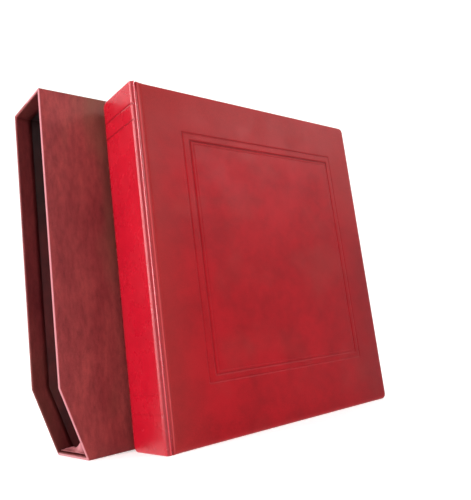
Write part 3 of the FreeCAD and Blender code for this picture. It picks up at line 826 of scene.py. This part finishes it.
def lining_paper():
    """Dark maroon lining of the slipcase, with rusty patches, and painted shade that makes it nearly black
    towards the top.
    """
    f = Finish("slipcase_lining_paper")
    spot = f.stretched((1.0, 1.0, 0.55))
    cloudy = f.ramp(f.noise(40.0, 4.0, 0.6, spot), 0.35, 0.65)
    rusty = f.ramp(f.noise(24.0, 4.0, 0.65, spot, 4.0), 0.55, 0.75, 0.0, 0.7)
    tint = f.mix(cloudy, colour(50, 13, 15), colour(96, 28, 29))
    tint = f.mix(rusty, tint, colour(98, 50, 32))
    # Painted shade inside the case, towards the top.
    height = f.node("ShaderNodeSeparateXYZ", {"Vector": f.place}).outputs["Z"]
    tint = f.mix(f.ramp(height, 0.12, 0.24, 0.0, 0.8), tint, colour(16, 6, 7))
    normal = f.bump(f.noise(700.0, 3.0), 0.12, 0.0003)
    return f.set(Base_Color=tint, Roughness=f.ramp(f.noise(90.0), 0.3, 0.7, 0.55, 0.72), Normal=normal)


def greyboard(name="greyboard_pulp"):
    f = Finish(name)
    fibres = f.noise(900.0, 4.0, 0.7, f.stretched((1.0, 1.0, 0.3)))
    tint = f.mix(f.ramp(fibres, 0.3, 0.7), colour(140, 132, 120), colour(176, 168, 152))
    return f.set(Base_Color=tint, Roughness=0.9, Normal=f.bump(fibres, 0.3, 0.0003))


def endpaper():
    f = Finish("endpaper_cream")
    fibres = f.noise(1200.0, 3.0, 0.6)
    tint = f.mix(f.ramp(f.noise(18.0, 3.0), 0.3, 0.7), colour(226, 217, 196), colour(236, 229, 212))
    tint = f.mix(1.0, tint, f.ramp(fibres, 0.3, 0.7, 0.95, 1.03), "MULTIPLY")
    return f.set(Base_Color=tint, Roughness=0.78, Normal=f.bump(fibres, 0.12, 0.0001))


def woven_cloth():
    """Fine dark red book cloth: warp and weft as two crossed waves."""
    f = Finish("lining_cloth_woven")
    waves = []
    for turn in ((1.0, 1.0, 0.0), (0.0, 0.0, 1.0)):
        spot = f.stretched(turn)
        inputs = {"Vector": spot, "Scale": 420.0, "Distortion": 0.6, "Detail": 1.0}
        waves.append(f.node("ShaderNodeTexWave", inputs, bands_direction="DIAGONAL").outputs["Fac"])
    weave = f.maths("MAXIMUM", *waves)
    tint = f.mix(f.ramp(weave, 0.2, 1.0), colour(92, 18, 24), colour(142, 34, 40))
    return f.set(Base_Color=tint, Roughness=0.85, Normal=f.bump(weave, 0.35, 0.0003), Sheen_Weight=0.2)


def plated(name, tone, rough, brushed=0.0):
    """Nickel plate or steel, with faint wear and, where brushed, fine lines along its length."""
    f = Finish(name)
    wear = f.noise(140.0, 4.0, 0.65)
    lines = f.noise(2400.0, 2.0, 0.5, f.stretched((1.0, 1.0, 0.02)))
    tint = f.mix(f.ramp(wear, 0.3, 0.7), tone, tuple(c * 0.86 for c in tone[:3]) + (1.0,))
    height = f.mix(brushed, wear, lines)
    gloss = f.ramp(wear, 0.3, 0.7, rough, rough + 0.1)
    normal = f.bump(height, 0.05 + brushed * 0.15, 0.0001)
    return f.set(Base_Color=tint, Metallic=1.0, Roughness=gloss, Normal=normal)


def black_card():
    f = Finish("leaf_card_black")
    fibres = f.noise(1100.0, 4.0, 0.7)
    tint = f.mix(f.ramp(fibres, 0.3, 0.75), colour(24, 24, 26), colour(46, 46, 48))
    return f.set(Base_Color=tint, Roughness=0.82, Normal=f.bump(fibres, 0.2, 0.0002))


def clear_film():
    """Clear pocket strips: mostly see-through, with a soft gloss."""
    f = Finish("clear_film_strip")
    ripple = f.noise(60.0, 2.0, 0.5, f.stretched((1.0, 1.0, 3.0)))
    tint = f.mix(f.ramp(ripple, 0.3, 0.7), (0.86, 0.88, 0.9, 1.0), (0.93, 0.94, 0.95, 1.0))
    return f.set(
        Base_Color=tint, Roughness=0.08, Alpha=0.22, Normal=f.bump(ripple, 0.05, 0.0004), Coat_Weight=0.5
    )


def floor_paint():
    f = Finish("studio_floor")
    tint = f.mix(f.ramp(f.noise(2.0, 2.0), 0.3, 0.7), (0.9, 0.9, 0.9, 1.0), (0.93, 0.93, 0.93, 1.0))
    f.set(Base_Color=tint, Roughness=0.9, Specular_IOR_Level=0.1)
    return f.set(Emission_Color=(1.0, 1.0, 1.0, 1.0), Emission_Strength=0.28)


def dress(piece, material):
    """Gives every material slot of a piece, or its only one, the material."""
    if piece.material_slots:
        for place in piece.material_slots:
            place.material = material
    else:
        piece.data.materials.append(material)


# ------------------------------------------------------------------------------------ putting the pieces on
def dress_album():
    # Its tooled colour also paints shade, its edge colour painted highlights, and its patch colour a painted
    # haze.
    cover_red = leatherette(
        "album_cover_leatherette", colour(128, 6, 16), colour(148, 9, 21), colour(132, 38, 37),
        colour(84, 4, 11), colour(214, 84, 88), 0.4, 0.09, 0.5,
    )
    # The covers' leatherette with a lighter base colour: painted light on the spine.
    spine_painted_lighter = leatherette(
        "album_spine_leatherette_painted_lighter", colour(154, 6, 26), colour(164, 9, 29), colour(157, 16, 32),
        colour(96, 4, 12), colour(190, 50, 60), 0.27, 0.45, 0.3, pebble=0.4,
    )
    cloth = woven_cloth()
    for word, side, tooled, seed in (("front", 1, True, 2.0), ("back", -1, False, 17.0)):
        skin = cover_skin(word + "_cover_skin", side, tooled, seed)
        dress(skin, cover_red)
        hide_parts(word + "_covering", word + "_padding")
        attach(skin, word + "_cover")
        groove = joint_skin(word + "_joint_skin", side)
        dress(groove, spine_painted_lighter)
        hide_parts(word + "_joint_leatherette")
        hinge = hinge_cloth(word + "_hinge_cloth", side)
        dress(hinge, cloth)
        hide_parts(word + "_joint_lining")
        for piece, near, far in ((groove, 0.7, 0.7), (hinge, 0.7, 1.0)):
            if word == "front":
                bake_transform(piece)
            else:
                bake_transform(piece)
    spine = spine_skin()
    dress(spine, spine_painted_lighter)
    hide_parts("spine_leatherette")
    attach(spine, "spine")
    core = spine_core()
    dress(core, greyboard("spine_board_pulp"))
    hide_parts("spine_board")
    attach(core, "spine")
    dress_nodes(("spine_lining",), cloth)


def dress_slipcase():
    skin = case_skin()
    # Its tooled colour also paints shade inside the mouth, and its edge colour a painted highlight on the
    # rim.
    burgundy = leatherette(
        "slipcase_leatherette_burgundy", colour(112, 36, 39), colour(144, 56, 55), colour(110, 66, 52),
        colour(44, 9, 13), colour(222, 150, 158), 0.45, 0.14, 0.8, 3.0, 0.32,
    )
    dress(skin, burgundy)
    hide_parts("case_leatherette", "case_bottom_leatherette", "case_mouth_turn_ins")
    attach(skin, "slipcase")
    flap = case_flap()
    dress(flap, burgundy)
    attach(flap, "slipcase")
    dress_nodes(("case_lining",), lining_paper())


def dress_nodes(names, material):
    for name in names:
        dress(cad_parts[name], material)


def dress_inside():
    """The CAD pieces that keep their own shape."""
    boards = [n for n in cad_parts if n.endswith("_board")]
    dress_nodes(boards, greyboard())
    dress_nodes(("front_endpaper", "back_endpaper"), endpaper())
    dress_nodes(("mechanism_housing",), plated("mechanism_nickel", (0.78, 0.78, 0.77, 1.0), 0.16))
    rings = ["half_rings_front", "half_rings_back", "trigger_top", "trigger_bottom"]
    dress_nodes(rings, plated("ring_nickel", (0.82, 0.82, 0.81, 1.0), 0.1))
    steel = plated("steel_brushed", (0.6, 0.61, 0.62, 1.0), 0.32, 0.8)
    steel_nodes = ["blade_front", "blade_back", "mechanism_rivets", "trigger_pin_top", "trigger_pin_bottom"]
    dress_nodes(steel_nodes, steel)
    dress_nodes([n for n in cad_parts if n.startswith("leaf_") and n.endswith("_card")], black_card())
    dress_nodes([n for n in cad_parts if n.startswith("leaf_") and n.endswith("_strips")], clear_film())


# ------------------------------------------------------------------------------------ studio
BOWL_RADIUS = 3.2
BOWL_WALL = 1.6
BOWL_TOP = 2.2
LIGHT_TARGET = (0.0, 0.0, 0.13)
STUDIO_LIGHTS = (                       # place and size in metres, power in watts
    ("key_left", (-1.5, -0.35, 0.5), (0.3, 1.3), 9.0),
    ("edge_left", (-1.55, 0.32, 0.5), (0.08, 1.4), 16.0),
    ("ridge_left", (-1.48, -0.64, 0.5), (0.08, 1.4), 7.0),
    ("front_haze", (1.05, -1.25, 0.83), (0.5, 0.4), 8.0),
    ("top_soft", (0.0, 0.0, 2.0), (1.6, 1.6), 5.0),
    ("back_fill", (0.9, 1.8, 1.0), (1.6, 1.2), 4.0),
    ("right_fill", (1.8, -0.2, 0.8), (1.2, 1.2), 2.0),
)
CAMERA_PLACE = (-287.16, -373.77, 66.21)
CAMERA_AZIMUTH = 40.254
CAMERA_ELEVATION = 9.514
CAMERA_ROLL = -7.264
CAMERA_LENS = 39.605
SENSOR = 36.0


def studio_bowl():
    """A pale floor that curves up into a wall all round, so that no edge shows."""
    section = [(r, 0.0) for r in np.linspace(0.001, BOWL_RADIUS - BOWL_WALL, 12)]
    for angle in np.radians(np.arange(5, 91, 5)):
        reach = BOWL_RADIUS - BOWL_WALL + BOWL_WALL * math.sin(angle)
        section.append((reach, BOWL_WALL * (1 - math.cos(angle))))
    section.append((BOWL_RADIUS, BOWL_WALL + BOWL_TOP))
    turns = np.radians(np.arange(0, 360, 5))
    grid = np.array([[(r * math.cos(a), r * math.sin(a), z) for a in turns] for r, z in section])
    index = np.arange(grid.shape[0] * grid.shape[1]).reshape(grid.shape[:2])
    around = np.hstack([index, index[:, :1]])
    mesh = bpy.data.meshes.new("studio_bowl")
    mesh.from_pydata(grid.reshape(-1, 3).tolist(), [], [list(map(int, q[::-1])) for q in quads(around)])
    mesh.shade_smooth()
    bowl = bpy.data.objects.new("studio_bowl", mesh)
    bpy.context.scene.collection.objects.link(bowl)
    dress(bowl, floor_paint())


def aim(thing, place, target):
    thing.location = place
    thing.rotation_mode = "QUATERNION"
    thing.rotation_quaternion = (Vector(target) - Vector(place)).to_track_quat("-Z", "Y")


def area_light(name, place, size, power):
    data = bpy.data.lights.new(name, "AREA")
    data.shape = "RECTANGLE"
    data.size, data.size_y = size
    data.energy = power
    lamp = bpy.data.objects.new(name, data)
    bpy.context.scene.collection.objects.link(lamp)
    aim(lamp, place, LIGHT_TARGET)


def studio_light():
    for name, place, size, power in STUDIO_LIGHTS:
        area_light(name, place, size, power)
    world = bpy.data.worlds.new("studio")
    bpy.context.scene.world = world
    world.use_nodes = True
    sky = world.node_tree.nodes["Background"]
    sky.inputs["Color"].default_value = (1.0, 1.0, 1.0, 1.0)
    sky.inputs["Strength"].default_value = 0.3
    bpy.context.scene.view_settings.view_transform = "Standard"


def studio_camera():
    data = bpy.data.cameras.new("camera")
    data.sensor_width = SENSOR
    data.lens = CAMERA_LENS
    camera = bpy.data.objects.new("camera", data)
    bpy.context.scene.collection.objects.link(camera)
    turn, rise, roll = (math.radians(a) for a in (CAMERA_AZIMUTH, CAMERA_ELEVATION, CAMERA_ROLL))
    forward = Vector((math.sin(turn) * math.cos(rise), math.cos(turn) * math.cos(rise), math.sin(rise)))
    level = forward.cross(Vector((0, 0, 1))).normalized()
    upright = level.cross(forward)
    right = level * math.cos(roll) + upright * math.sin(roll)
    up = upright * math.cos(roll) - level * math.sin(roll)
    camera.matrix_world = Matrix.Translation(Vector(CAMERA_PLACE) * MM) @ Matrix(
        (
            (right.x, up.x, -forward.x, 0),
            (right.y, up.y, -forward.y, 0),
            (right.z, up.z, -forward.z, 0),
            (0, 0, 0, 1),
        )
    )
    bpy.context.scene.camera = camera


dress_album()
dress_slipcase()
dress_inside()
studio_bowl()
studio_light()
studio_camera()
